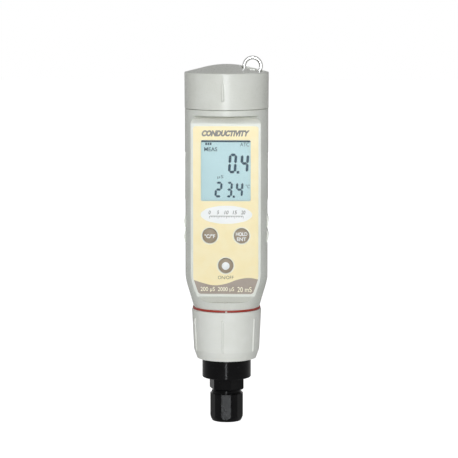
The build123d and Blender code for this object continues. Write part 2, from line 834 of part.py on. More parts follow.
# Sprung strip contacts on the floors of the wells
strip_reach = cell_radius - cell_edge
with BuildPart() as battery_contacts:
    for side in (-1, 1):
        with BuildSketch(Plane((side * stack_offset, 0, well_bottom), (1, 0, 0), (0, -1, 0))):
            with BuildLine():
                outer_arch = ThreePointArc((-strip_reach, 0), (0, spring_height), (strip_reach, 0))
                inner_reach = strip_reach - spring_strip
                inner_arch = ThreePointArc(
                    (-inner_reach, 0), (0, spring_height - spring_strip), (inner_reach, 0)
                )
                Line(outer_arch @ 0, inner_arch @ 0)
                Line(outer_arch @ 1, inner_arch @ 1)
            make_face()
        extrude(amount=spring_width / 2, both=True)
export_piece(battery_contacts, "battery_contacts")

# Four button cells, two in each well
with BuildPart() as button_cells:
    for layer in range(cells_per_stack):
        with BuildSketch(Plane.XY.offset(cell_top - (layer + 1) * cell_height)):
            with GridLocations(2 * stack_offset, 0, 2, 1):
                Circle(cell_radius)
        extrude(amount=cell_height - seat_gap)
    chamfer(button_cells.edges().filter_by(GeomType.CIRCLE), cell_edge)
export_piece(button_cells, "button_cells")

# Screws that hold the battery holder to the body's bosses
with BuildPart() as holder_screws:
    with BuildSketch(Plane.XY.offset(neck_top)):
        with Locations((0, -boss_offset), (0, boss_offset)):
            Circle(screw_radius - pressed_gap)
    extrude(amount=-boss_height + boss_radius)
    with BuildSketch(Plane.XY.offset(neck_top)):
        with Locations((0, -boss_offset), (0, boss_offset)):
            Circle(screw_head_radius)
    extrude(amount=screw_head_height)
    fillet(holder_screws.edges().group_by(Axis.Z)[-1], screw_head_height / 2)
    with BuildSketch(Plane.XY.offset(neck_top + screw_head_height)):
        with Locations((0, -boss_offset), (0, boss_offset)):
            Rectangle(2 * screw_head_radius, screw_slot_width)
    extrude(amount=-screw_slot_depth, mode=Mode.SUBTRACT)
export_piece(holder_screws, "holder_screws")

# Screws that hold the board to the battery holder's tongue
with BuildPart() as board_screws:
    with BuildSketch(Plane.XZ.offset(-board_front)):
        with Locations((0, board_screw_height)):
            with GridLocations(board_screw_spacing, 0, 2, 1):
                Circle(screw_radius - pressed_gap)
    extrude(amount=-(board_thickness + seat_gap + tongue_thickness))
    with BuildSketch(Plane.XZ.offset(-board_front)):
        with Locations((0, board_screw_height)):
            with GridLocations(board_screw_spacing, 0, 2, 1):
                Circle(screw_head_radius)
    extrude(amount=screw_head_height)
    with BuildSketch(Plane.XZ.offset(-board_front + screw_head_height)):
        with Locations((0, board_screw_height)):
            with GridLocations(board_screw_spacing, 0, 2, 1):
                Rectangle(2 * screw_head_radius, screw_slot_width)
    extrude(amount=-screw_slot_depth, mode=Mode.SUBTRACT)
export_piece(board_screws, "board_screws")

# Hollow inside of the cap, less the stud's boss and the walls of the ring's pocket
ceiling_edge = cap_rim - cap_wall
with BuildPart() as cap_cavity:
    with BuildSketch(Plane.XZ):
        with BuildLine():
            Polyline(
                (0, cap_bottom),
                (cap_bore_radius, cap_bottom),
                (cap_bore_radius, ceiling_edge),
                (0, ceiling_edge + cap_bore_radius * dome_slope),
                close=True,
            )
        make_face()
    revolve()
    with BuildSketch(Plane.XY.offset(bridge_top + stud_gap)):
        Circle(stud_boss_radius)
    extrude(amount=dome_top - bridge_top, mode=Mode.SUBTRACT)
    with Locations((ring_x, ring_y, pocket_floor - pocket_wall)):
        Box(
            pocket_length + 2 * pocket_wall,
            pocket_width + 2 * pocket_wall,
            dome_top - pocket_floor,
            align=(Align.CENTER, Align.CENTER, Align.MIN),
            mode=Mode.SUBTRACT,
        )

# Battery cap: skirt, low domed top, grip ridges, ring pocket with its bar, and the bridge's stud
with BuildPart() as battery_cap:
    with BuildSketch(Plane.XZ):
        with BuildLine():
            Polyline(
                (0, dome_top),
                (0, cap_bottom),
                (cap_foot_radius, cap_bottom),
                (cap_rim_radius, cap_rim),
                (dome_crown_radius, crown_edge),
            )
            TangentArc((0, dome_top), (dome_crown_radius, crown_edge), tangent=(1, 0))
        cap_outline = make_face()
        fillet(cap_outline.vertices().sort_by(Axis.X)[-1], cap_rim_edge)
    revolve()
    add(cap_cavity.part, mode=Mode.SUBTRACT)
    cap_ridge = ridge(
        cap_rib_foot_width / 2,
        cap_foot_radius + cap_rib_foot_rise,
        cap_bottom + cap_rib_foot,
        cap_rib_top_width / 2,
        cap_rim_radius + cap_rib_top_rise,
        cap_bottom + cap_rib_foot + cap_rib_length,
    )
    with PolarLocations(0, cap_rib_count, start_angle=cap_rib_turn):
        add(cap_ridge)
    with Locations((ring_x, ring_y, pocket_floor)):
        Box(
            pocket_length,
            pocket_width,
            dome_top - pocket_floor,
            align=(Align.CENTER, Align.CENTER, Align.MIN),
            mode=Mode.SUBTRACT,
        )
    with Locations((ring_x, ring_y, bar_low)):
        Box(
            ring_bar_width,
            pocket_width + pocket_wall,
            ring_surface - bar_low,
            align=(Align.CENTER, Align.CENTER, Align.MIN),
        )
    with BuildSketch(Plane.XY.offset(bridge_top + stud_gap)):
        Circle(stud_radius)
    extrude(amount=-(bridge_thickness + 2 * stud_gap))
    with BuildSketch(Plane.XY.offset(bridge_roof - stud_gap)):
        Circle(stud_head_radius)
    extrude(amount=-stud_head_height)
export_piece(battery_cap, "battery_cap")

# Sprung strip that bridges the two stacks of cells, loose on the cap's stud
with BuildPart() as contact_bridge:
    with BuildSketch(Plane.XZ):
        with BuildLine():
            Polyline(
                (0, bridge_roof),
                (bridge_waist, bridge_roof),
                (bridge_waist + bridge_rise, bridge_foot),
                (bridge_reach, bridge_foot),
                (bridge_reach, bridge_foot + bridge_thickness),
                (bridge_waist + bridge_rise + bridge_thickness / 2, bridge_foot + bridge_thickness),
                (bridge_waist + bridge_thickness / 2, bridge_top),
                (0, bridge_top),
                close=True,
            )
        make_face()
        mirror(about=Plane.YZ)
    extrude(amount=bridge_width / 2, both=True)
    with BuildSketch(Plane.XY.offset(bridge_top)):
        Circle(stud_radius + turning_gap)
    extrude(amount=-bridge_thickness - bridge_rise, mode=Mode.SUBTRACT)
export_piece(contact_bridge, "contact_bridge")

# Lanyard ring, hanging through the pocket under its bar
with BuildPart() as lanyard_ring:
    with Locations(Location((ring_x, ring_y, ring_height), (90, 0, 0))):
        Torus(ring_radius, ring_wire_radius)
export_piece(lanyard_ring, "lanyard_ring")
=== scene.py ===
"""Dresses the packed soil conductivity meter for a look at it in a plain white studio.

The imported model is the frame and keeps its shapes. This script gives every part of it a finish, and
adds what is too fine for the solids: the printed label, the digits of the display, the legends on the
buttons, the crests of the screw threads and the polarity marks. Sizes are in millimetres in the part's
own frame: +Z up the barrel, -Y out of the display front, +X to the right of the display.
"""

from __future__ import annotations

import logging
import math
from dataclasses import dataclass, replace
from enum import Enum

import bmesh
import bpy
from mathutils import Matrix, Vector
from mathutils.bvhtree import BVHTree


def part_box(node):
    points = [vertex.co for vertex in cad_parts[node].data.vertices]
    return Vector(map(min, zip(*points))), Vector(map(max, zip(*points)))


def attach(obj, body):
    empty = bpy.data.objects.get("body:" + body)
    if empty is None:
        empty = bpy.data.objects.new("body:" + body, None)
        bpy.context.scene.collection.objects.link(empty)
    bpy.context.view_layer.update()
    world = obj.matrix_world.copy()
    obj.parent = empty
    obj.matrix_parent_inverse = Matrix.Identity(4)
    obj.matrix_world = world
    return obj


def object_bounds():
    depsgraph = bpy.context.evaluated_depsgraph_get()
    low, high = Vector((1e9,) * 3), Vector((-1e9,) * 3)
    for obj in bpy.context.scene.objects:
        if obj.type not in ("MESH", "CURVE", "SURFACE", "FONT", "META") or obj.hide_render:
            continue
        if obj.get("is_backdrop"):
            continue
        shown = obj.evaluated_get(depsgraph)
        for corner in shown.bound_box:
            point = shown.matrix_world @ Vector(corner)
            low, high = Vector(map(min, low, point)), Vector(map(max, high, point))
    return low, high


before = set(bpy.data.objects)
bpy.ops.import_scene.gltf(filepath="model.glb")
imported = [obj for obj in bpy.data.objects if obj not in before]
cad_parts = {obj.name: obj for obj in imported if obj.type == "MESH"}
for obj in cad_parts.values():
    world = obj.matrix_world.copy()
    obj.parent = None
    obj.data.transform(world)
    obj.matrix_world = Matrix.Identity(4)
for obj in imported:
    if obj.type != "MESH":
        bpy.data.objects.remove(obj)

LOG = logging.getLogger("conductivity_meter")
MM = 0.001


class Body(Enum):
    """Moving bodies of the meter that new pieces ride on."""

    BARREL = "body"
    UNIT_KEY = "unit_key"
    HOLD_KEY = "hold_key"
    POWER_KEY = "power_key"
    ADAPTER = "adapter"


class Slot(Enum):
    """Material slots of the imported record."""

    HOUSING = "housing"
    COLLAR = "collar"
    LABEL = "label"
    WINDOW = "window"
    DISPLAY = "display"
    BUTTON = "button"
    BLACK_PLASTIC = "black_plastic"
    BLACK_RUBBER = "black_rubber"
    RED_RUBBER = "red_rubber"
    BOARD = "board"
    CONTACT_METAL = "contact_metal"
    STEEL = "steel"


def linear(colour: str) -> tuple[float, float, float, float]:
    """Turns an sRGB colour into the linear values that a shader takes.

    Args:
        colour: the colour as "#rrggbb".

    Returns:
        Linear red, green, blue and an alpha of 1.
    """
    channels = (int(colour[place : place + 2], 16) / 255 for place in (1, 3, 5))
    return (*(c / 12.92 if c <= 0.04045 else ((c + 0.055) / 1.055) ** 2.4 for c in channels), 1.0)


def add_node(
    tree: bpy.types.NodeTree,
    kind: str,
    settings: dict[str, object] | None = None,
    inputs: dict[str | int, object] | None = None,
) -> bpy.types.Node:
    """Adds one node with its settings, values and links.

    Args:
        tree: node tree that takes the node.
        kind: type of the node.
        settings: properties of the node and what they are set to.
        inputs: name or number of an input, and a value or the output that feeds it.

    Returns:
        The new node.
    """
    node = tree.nodes.new(kind)
    for name, value in (settings or {}).items():
        setattr(node, name, value)
    for key, value in (inputs or {}).items():
        if isinstance(value, bpy.types.NodeSocket):
            tree.links.new(value, node.inputs[key])
        else:
            node.inputs[key].default_value = value
    return node


@dataclass(frozen=True)
class Extent:
    """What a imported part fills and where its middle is, in millimetres.

    The values are rounded to 0.01 mm, because the facets of a round part stand a little off its middle.
    """

    left: float
    right: float
    front: float
    back: float
    foot: float
    top: float
    across: float
    up: float

    @classmethod
    def of(cls, node: str) -> "Extent":
        """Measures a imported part."""
        low, high = (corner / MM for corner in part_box(node))
        edges = [corner[axis] for axis in range(3) for corner in (low, high)]
        middle = [(low[axis] + high[axis]) / 2 for axis in (0, 2)]
        return cls(*(round(value, 2) for value in edges + middle))


# Stretch of a noise's values that the tones and the gloss are spread over, and how the noises break up
TONE_RANGE = (0.35, 0.65)
GRAIN_RANGE = (0.3, 0.7)
TONE_NOISE = {"Detail": 3.0, "Roughness": 0.55}
GRAIN_NOISE = {"Detail": 2.0, "Roughness": 0.6}
SMOOTHEST = 0.02


@dataclass(frozen=True)
class Surface:
    """A finish with a fine relief and two close tones, which most real surfaces show.

    The grain is the relief of the mould, film or brush, the tone is the slow drift of colour.
    """

    name: str
    colour: str
    second_colour: str
    roughness: float
    roughness_drift: float = 0.06
    grain_mm: float = 0.5
    relief_mm: float = 0.004
    tone_mm: float = 9.0
    stretch: tuple[float, float, float] = (1.0, 1.0, 1.0)
    metallic: float = 0.0
    specular: float = 0.5
    coat: float = 0.0
    alpha: float = 1.0

    def material(self) -> bpy.types.Material:
        """Makes the material, with its patterns on object coordinates in real millimetres."""
        material = bpy.data.materials.new(self.name)
        material.use_nodes = True
        tree = material.node_tree
        shader = tree.nodes["Principled BSDF"]
        place = add_node(tree, "ShaderNodeTexCoord").outputs["Object"]
        stretched = add_node(
            tree, "ShaderNodeMapping", None, {"Vector": place, "Scale": self.stretch}
        ).outputs["Vector"]
        tone = add_node(
            tree,
            "ShaderNodeTexNoise",
            None,
            {"Vector": place, "Scale": 1 / (self.tone_mm * MM), **TONE_NOISE},
        ).outputs["Fac"]
        grain = add_node(
            tree,
            "ShaderNodeTexNoise",
            None,
            {"Vector": stretched, "Scale": 1 / (self.grain_mm * MM), **GRAIN_NOISE},
        ).outputs["Fac"]
        blend = add_node(
            tree,
            "ShaderNodeMapRange",
            {"interpolation_type": "SMOOTHSTEP"},
            {"Value": tone, "From Min": TONE_RANGE[0], "From Max": TONE_RANGE[1]},
        ).outputs["Result"]
        colour = add_node(
            tree,
            "ShaderNodeMix",
            {"data_type": "RGBA"},
            {0: blend, 6: linear(self.colour), 7: linear(self.second_colour)},
        ).outputs[2]
        gloss = add_node(
            tree,
            "ShaderNodeMapRange",
            None,
            {
                "Value": grain,
                "From Min": GRAIN_RANGE[0],
                "From Max": GRAIN_RANGE[1],
                "To Min": max(self.roughness - self.roughness_drift, SMOOTHEST),
                "To Max": self.roughness + self.roughness_drift,
            },
        ).outputs["Result"]
        relief = add_node(
            tree,
            "ShaderNodeBump",
            None,
            {"Strength": 1.0, "Distance": self.relief_mm * MM, "Height": grain},
        ).outputs["Normal"]
        tree.links.new(colour, shader.inputs["Base Color"])
        tree.links.new(gloss, shader.inputs["Roughness"])
        tree.links.new(relief, shader.inputs["Normal"])
        shader.inputs["Metallic"].default_value = self.metallic
        shader.inputs["Specular IOR Level"].default_value = self.specular
        shader.inputs["Coat Weight"].default_value = self.coat
        shader.inputs["Alpha"].default_value = self.alpha
        return material


def moulded_abs(name: str, colour: str, second_colour: str, roughness: float) -> Surface:
    """Makes a finish of lightly spark-eroded ABS.

    Args:
        name: name of the shade.
        colour: its colour.
        second_colour: what the colour drifts to.
        roughness: how matt it is.

    Returns:
        The finish.
    """
    return Surface(
        f"moulded_abs_{name}",
        colour,
        second_colour,
        roughness,
        roughness_drift=0.05,
        grain_mm=0.6,
        relief_mm=0.004,
        specular=0.32,
    )


def screen_ink(name: str, colour: str, second_colour: str, roughness: float = 0.36) -> Surface:
    """Makes the finish of a screen-printed ink.

    Args:
        name: name of the ink's colour.
        colour: its colour.
        second_colour: what the colour drifts to.
        roughness: how matt it is.

    Returns:
        The finish.
    """
    return Surface(
        f"screen_print_{name}",
        colour,
        second_colour,
        roughness,
        roughness_drift=0.05,
        grain_mm=0.9,
        relief_mm=0.002,
        tone_mm=6.0,
    )


# Moulded ABS: an even warm grey with a soft sheen. The real relief of the mould is about 0.1 mm wide and is
# drawn at 0.6 mm to show.
MOULDED_ABS = moulded_abs("warm_grey", "#e5e6de", "#e1e2d9", 0.3)
COLLAR_ABS = moulded_abs("collar_grey", "#efefe8", "#ebebe3", 0.32)
CAP_ABS = moulded_abs("cap_grey", "#e5e5dd", "#e1e1d8", 0.3)

# Polyester label film: the unprinted margin looks pale and slightly glossy, with the faint waviness of
# glued film.
LABEL_FILM = Surface(
    "polyester_film_pale", "#f0eee6", "#edebe2", 0.34, 0.04, grain_mm=4.0, relief_mm=0.006, tone_mm=12.0
)

# Screen-printed inks on that film: each looks flat and even, and lies a little thicker here and there.
CREAM_INK = screen_ink("cream_yellow", "#fdedbb", "#fceab3")
HALO_INK = screen_ink("pale_cream", "#fdf7dc", "#fcf5d6")
WHITE_INK = screen_ink("white", "#f8f8f6", "#f4f5f3")
BROWN_INK = screen_ink("grey_brown", "#a69789", "#a09183", 0.38)
GREY_INK = screen_ink("warm_grey", "#7d7973", "#77736d", 0.38)
OLIVE_INK = screen_ink("olive_grey", "#4f543f", "#4a4f3b", 0.38)

# Reflective liquid crystal glass: pale blue-green with a very slight brushed shimmer from the reflector
# behind it. Its switched segments look deep teal. The shadow that they cast on the reflector is painted,
# as a slightly darker blue-green copy of the digits.
LCD_GLASS = Surface(
    "liquid_crystal_reflector_glass", "#c6e6ea", "#c0e0e4", 0.3, 0.05, grain_mm=0.8, relief_mm=0.001,
    tone_mm=14.0, specular=0.2,
)
LCD_SEGMENT = Surface(
    "liquid_crystal_segment", "#0a3a4e", "#0d4056", 0.35, 0.04, grain_mm=0.6, relief_mm=0.001, tone_mm=3.0,
    specular=0.1,
)
# Painted shadow of the digits: a blue-green a little darker than the glass.
LCD_PAINTED_SHADOW = Surface(
    "liquid_crystal_segment_shadow", "#a6c8cf", "#accdd4", 0.35, 0.04, grain_mm=0.6, relief_mm=0.001,
    tone_mm=3.0,
)

# Clear acrylic window: almost unseen, with a faint sheen.
CLEAR_ACRYLIC = Surface(
    "clear_acrylic", "#eef6f6", "#eaf4f4", 0.24, 0.02, grain_mm=6.0, relief_mm=0.002, tone_mm=20.0,
    specular=0.2, alpha=0.04,
)

# Soft-touch moulded buttons: grey-brown and matt, with a broad dull highlight on the crown.
BUTTON_PLASTIC = Surface(
    "soft_moulded_grey_brown", "#ab9c88", "#a59681", 0.46, grain_mm=0.45, tone_mm=4.0, specular=0.3
)

# Pad-printed white ink on the buttons: flat, dense and nearly matt.
BUTTON_INK = Surface(
    "pad_print_white", "#f6f7f6", "#f1f3f3", 0.4, grain_mm=0.6, relief_mm=0.002, tone_mm=3.0
)

# Glass-filled nylon: nearly black, with a low sheen and the short swirls of its fibres.
BLACK_NYLON = Surface(
    "glass_filled_black_nylon", "#080809", "#0d0d0e", 0.2, 0.04, grain_mm=0.7, relief_mm=0.004,
    tone_mm=5.0, stretch=(1.0, 1.0, 0.45), specular=0.12,
)

# Silicone seal: smooth and a little waxy, a clear brick red.
RED_SILICONE = Surface(
    "red_silicone", "#ad3a2b", "#a13325", 0.45, grain_mm=0.7, relief_mm=0.004, tone_mm=4.0
)

# Nitrile rubber seals and contact strips: smooth, dull black.
BLACK_NITRILE = Surface(
    "black_nitrile", "#1a1a1b", "#212122", 0.5, grain_mm=0.5, tone_mm=4.0, specular=0.3
)

# Glass laminate under solder mask: deep green, with the weave of the glass cloth just showing.
BOARD_LAMINATE = Surface(
    "solder_mask_on_glass_laminate", "#1c6138", "#165230", 0.32, 0.05, grain_mm=0.5, relief_mm=0.01,
    tone_mm=2.0, stretch=(1.0, 1.0, 3.0), coat=0.3,
)

# Spring brass, plated: warm and bright, rolled lengthwise.
SPRING_BRASS = Surface(
    "plated_spring_brass", "#e6cf92", "#d8bf80", 0.26, 0.08, grain_mm=0.3, relief_mm=0.002,
    stretch=(0.15, 1.0, 1.0), metallic=1.0,
)

# Nickel-plated steel: bright and cool, with fine rub marks.
NICKEL_STEEL = Surface(
    "nickel_plated_steel", "#ebebe9", "#dfdfdd", 0.26, 0.07, grain_mm=0.35, relief_mm=0.002,
    stretch=(1.0, 1.0, 0.3), metallic=1.0,
)


class Paintbox:
    """Makes each finish once and hands the same material out again."""

    def __init__(self) -> None:
        """Starts empty."""
        self._materials: dict[str, bpy.types.Material] = {}

    def get(self, finish: Surface) -> bpy.types.Material:
        """Returns the finish's material, made on its first use."""
        if finish.name not in self._materials:
            self._materials[finish.name] = finish.material()
        return self._materials[finish.name]


PAINTS = Paintbox()


def install(mesh: bpy.types.Mesh, finish: Surface, body: Body, slot: Slot) -> bpy.types.Object:
    """Puts a finished mesh in the scene as a piece of the meter.

    Args:
        mesh: the mesh, already in place, in metres. The piece takes its name.
        finish: what its surface is.
        body: the body that it moves with.
        slot: the record's slot that its finish belongs to. It is not used.

    Returns:
        The new piece.
    """
    piece = bpy.data.objects.new(mesh.name, mesh)
    bpy.context.scene.collection.objects.link(piece)
    mesh.materials.clear()
    mesh.materials.append(PAINTS.get(finish))
    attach(piece, body.value)
    LOG.info("piece %s on %s: %s, %d faces", piece.name, body.value, finish.name, len(mesh.polygons))
    return piece


# How near to each other, in millimetres, points of a mesh become one
WELD = 0.0005


def mesh_of(name: str, form: bmesh.types.BMesh) -> bpy.types.Mesh:
    """Makes a form a mesh of that name and frees it."""
    mesh = bpy.data.meshes.new(name)
    form.to_mesh(mesh)
    form.free()
    return mesh


def closed_mesh(name: str, form: bmesh.types.BMesh, unit: float = MM) -> bpy.types.Mesh:
    """Welds a form, turns its faces outwards and makes it a mesh.

    Args:
        name: name of the mesh.
        form: the form. It is freed.
        unit: what a millimetre is in the form: MM where it is in metres, 1 where it is in millimetres.

    Returns:
        The mesh.
    """
    bmesh.ops.remove_doubles(form, verts=form.verts, dist=WELD * unit)
    bmesh.ops.recalc_face_normals(form, faces=form.faces)
    return mesh_of(name, form)


def joined(meshes: list[bpy.types.Mesh]) -> bmesh.types.BMesh:
    """Pours several meshes into one form and removes them."""
    form = bmesh.new()
    for mesh in meshes:
        form.from_mesh(mesh)
        bpy.data.meshes.remove(mesh)
    return form


def merged(name: str, meshes: list[bpy.types.Mesh]) -> bpy.types.Mesh:
    """Joins several meshes in metres into one, welded and closed."""
    return closed_mesh(name, joined(meshes))


@dataclass(frozen=True)
class Knot:
    """A point of a printed outline: across, up, how far its corner is rounded, or that it flows on."""

    across: float
    up: float
    rounding: float = 0.0
    flowing: bool = False


# Handle length that makes a Bezier quarter a circle, and the points of an ellipse
ROUND_HANDLE = 0.5523
ELLIPSE_STEPS = 12


@dataclass(frozen=True)
class Outline:
    """A closed line of a flat shape."""

    knots: tuple[Knot, ...]

    @classmethod
    def ellipse(cls, across: float, up: float, wide: float, high: float) -> "Outline":
        """Makes an ellipse about a centre from its two half sizes."""
        return cls(
            tuple(
                Knot(across + wide * math.cos(turn), up + high * math.sin(turn), flowing=True)
                for turn in (step * math.tau / ELLIPSE_STEPS for step in range(ELLIPSE_STEPS))
            )
        )

    @classmethod
    def circle(cls, across: float, up: float, radius: float) -> "Outline":
        """Makes a circle about a centre."""
        return cls.ellipse(across, up, radius, radius)

    @classmethod
    def box(cls, left: float, right: float, foot: float, top: float, rounding: float = 0.0) -> "Outline":
        """Makes a rectangle from its four sides."""
        return cls(
            (
                Knot(left, foot, rounding),
                Knot(right, foot, rounding),
                Knot(right, top, rounding),
                Knot(left, top, rounding),
            )
        )

    def draw(self, curve: bpy.types.Curve) -> None:
        """Adds the line to a curve as one closed Bezier spline."""
        points: list[tuple[Vector, Vector, Vector, bool]] = []
        for place, knot in enumerate(self.knots):
            here = Vector((knot.across, knot.up, 0))
            if not knot.rounding:
                points.append((here, here, here, knot.flowing))
                continue
            before, after = self.knots[place - 1], self.knots[(place + 1) % len(self.knots)]
            for other, leaving in ((before, False), (after, True)):
                arm = (Vector((other.across, other.up, 0)) - here).normalized() * knot.rounding
                start, pull = here + arm, here + arm * (1 - ROUND_HANDLE)
                points.append((start, pull if leaving else start, start if leaving else pull, False))
        spline = curve.splines.new("BEZIER")
        spline.bezier_points.add(len(points) - 1)
        for point, (at, left, right, flowing) in zip(spline.bezier_points, points):
            kind = "AUTO" if flowing else "FREE"
            point.handle_left_type = point.handle_right_type = kind
            point.co, point.handle_left, point.handle_right = at, left, right
        spline.use_cyclic_u = True


def upright(front: float, across: float = 0.0, up: float = 0.0) -> Matrix:
    """Gives the turn that stands a flat drawing up, facing out of the display front.

    Args:
        front: height of the drawing's plane along Y, in millimetres.
        across: shift along X.
        up: shift along Z.

    Returns:
        The matrix from millimetres flat on XY to metres in the part's frame.
    """
    move = Matrix.Translation(Vector((across, front, up)) * MM)
    return move @ Matrix.Rotation(math.radians(90), 4, "X") @ Matrix.Scale(MM, 4)


def mesh_of_curve(name: str, curve: bpy.types.Curve, place: Matrix) -> bpy.types.Mesh:
    """Makes a filled flat curve or a text a closed mesh, and then puts it in place.

    Args:
        name: name of the mesh.
        curve: the curve, in millimetres.
        place: where it goes.

    Returns:
        The mesh, in metres.
    """
    holder = bpy.data.objects.new(name, curve)
    flat = bpy.data.meshes.new_from_object(holder)
    bpy.data.objects.remove(holder)
    form = bmesh.new()
    form.from_mesh(flat)
    bpy.data.meshes.remove(flat)
    bmesh.ops.transform(form, matrix=place, verts=form.verts)
    return closed_mesh(name, form)


def printed(
    name: str, outlines: list[Outline], front: float, thickness: float, smoothness: int = 12
) -> bpy.types.Mesh:
    """Makes a thin flat layer from its outlines, where an outline inside another is a hole.

    Args:
        name: name of the mesh.
        outlines: the closed lines, in millimetres across and up.
        front: place of its front face along Y, in millimetres.
        thickness: its thickness in millimetres.
        smoothness: steps along each stretch of a line.

    Returns:
        The mesh, in metres.
    """
    curve = bpy.data.curves.new(name, "CURVE")
    curve.dimensions = "2D"
    curve.fill_mode = "BOTH"
    curve.resolution_u = smoothness
    curve.extrude = thickness / 2
    for outline in outlines:
        outline.draw(curve)
    return mesh_of_curve(name, curve, upright(front + thickness / 2))


@dataclass(frozen=True)
class Words:
    """A line of plain legend: what it says, where its middle is, and the size of its letters."""

    text: str
    across: float
    up: float
    height: float
    width: float
    slant: float = 0.0
    weight: float = 0.0

    def mesh(self, name: str, front: float, thickness: float) -> bpy.types.Mesh:
        """Makes the letters as thin plates.

        Args:
            name: name of the mesh.
            front: place of the letters' front along Y, in millimetres.
            thickness: thickness of the letters in millimetres.

        Returns:
            The mesh, in metres, fitted to the width and height of the line.
        """
        text = bpy.data.curves.new(name, "FONT")
        text.body = self.text
        text.shear = self.slant
        text.offset = self.weight
        text.extrude = thickness / 2
        mesh = mesh_of_curve(name, text, upright(front + thickness / 2))
        corners = [[f(v.co[axis] for v in mesh.vertices) for f in (min, max)] for axis in (0, 2)]
        (left, right), (foot, top) = corners
        middle = Vector(((left + right) / 2, 0, (foot + top) / 2))
        fit = Matrix.Diagonal((self.width * MM / (right - left), 1, self.height * MM / (top - foot), 1))
        mesh.transform(Matrix.Translation(-middle))
        mesh.transform(fit)
        mesh.transform(Matrix.Translation(Vector((self.across, 0, self.up)) * MM))
        return mesh


@dataclass(frozen=True)
class NumberScale:
    """The plain scale in the label's oval: a line, its ticks and its numbers."""

    left: float = -7.2
    right: float = 7.8
    line: float = 94.4
    line_width: float = 0.22
    numbers: tuple[str, ...] = ("0", "5", "10", "15", "20")
    ticks_a_number: int = 5
    tick_half: float = 0.09
    long_tick: float = 0.95
    short_tick: float = 0.5
    overlap: float = 0.05
    number_rise: float = 1.75
    number_height: float = 1.7
    numeral_width: float = 0.95
    slant: float = 0.2
    weight: float = 0.02

    def across(self, share: float) -> float:
        """Gives the place of a share of the scale's length."""
        return self.left + (self.right - self.left) * share

    def outlines(self) -> list[Outline]:
        """Gives the line and its ticks, a long one under each number."""
        lines = [Outline.box(self.left, self.right, self.line, self.line + self.line_width)]
        steps = (len(self.numbers) - 1) * self.ticks_a_number
        for step in range(steps + 1):
            middle = self.across(step / steps)
            left, right = middle - self.tick_half, middle + self.tick_half
            tall = self.short_tick if step % self.ticks_a_number else self.long_tick
            lines.append(Outline.box(left, right, self.line - tall, self.line + self.overlap))
        return lines

    def words(self) -> list[Words]:
        """Gives the numbers over their ticks."""
        last = len(self.numbers) - 1
        return [
            Words(
                text=number,
                across=self.across(place / last),
                up=self.line + self.number_rise,
                height=self.number_height,
                width=self.numeral_width * len(number),
                slant=self.slant,
                weight=self.weight,
            )
            for place, number in enumerate(self.numbers)
        ]


class Layer(Enum):
    """Layers of ink on the label film, from the film up."""

    PANEL = 1
    MARKS = 2
    WORDS = 3


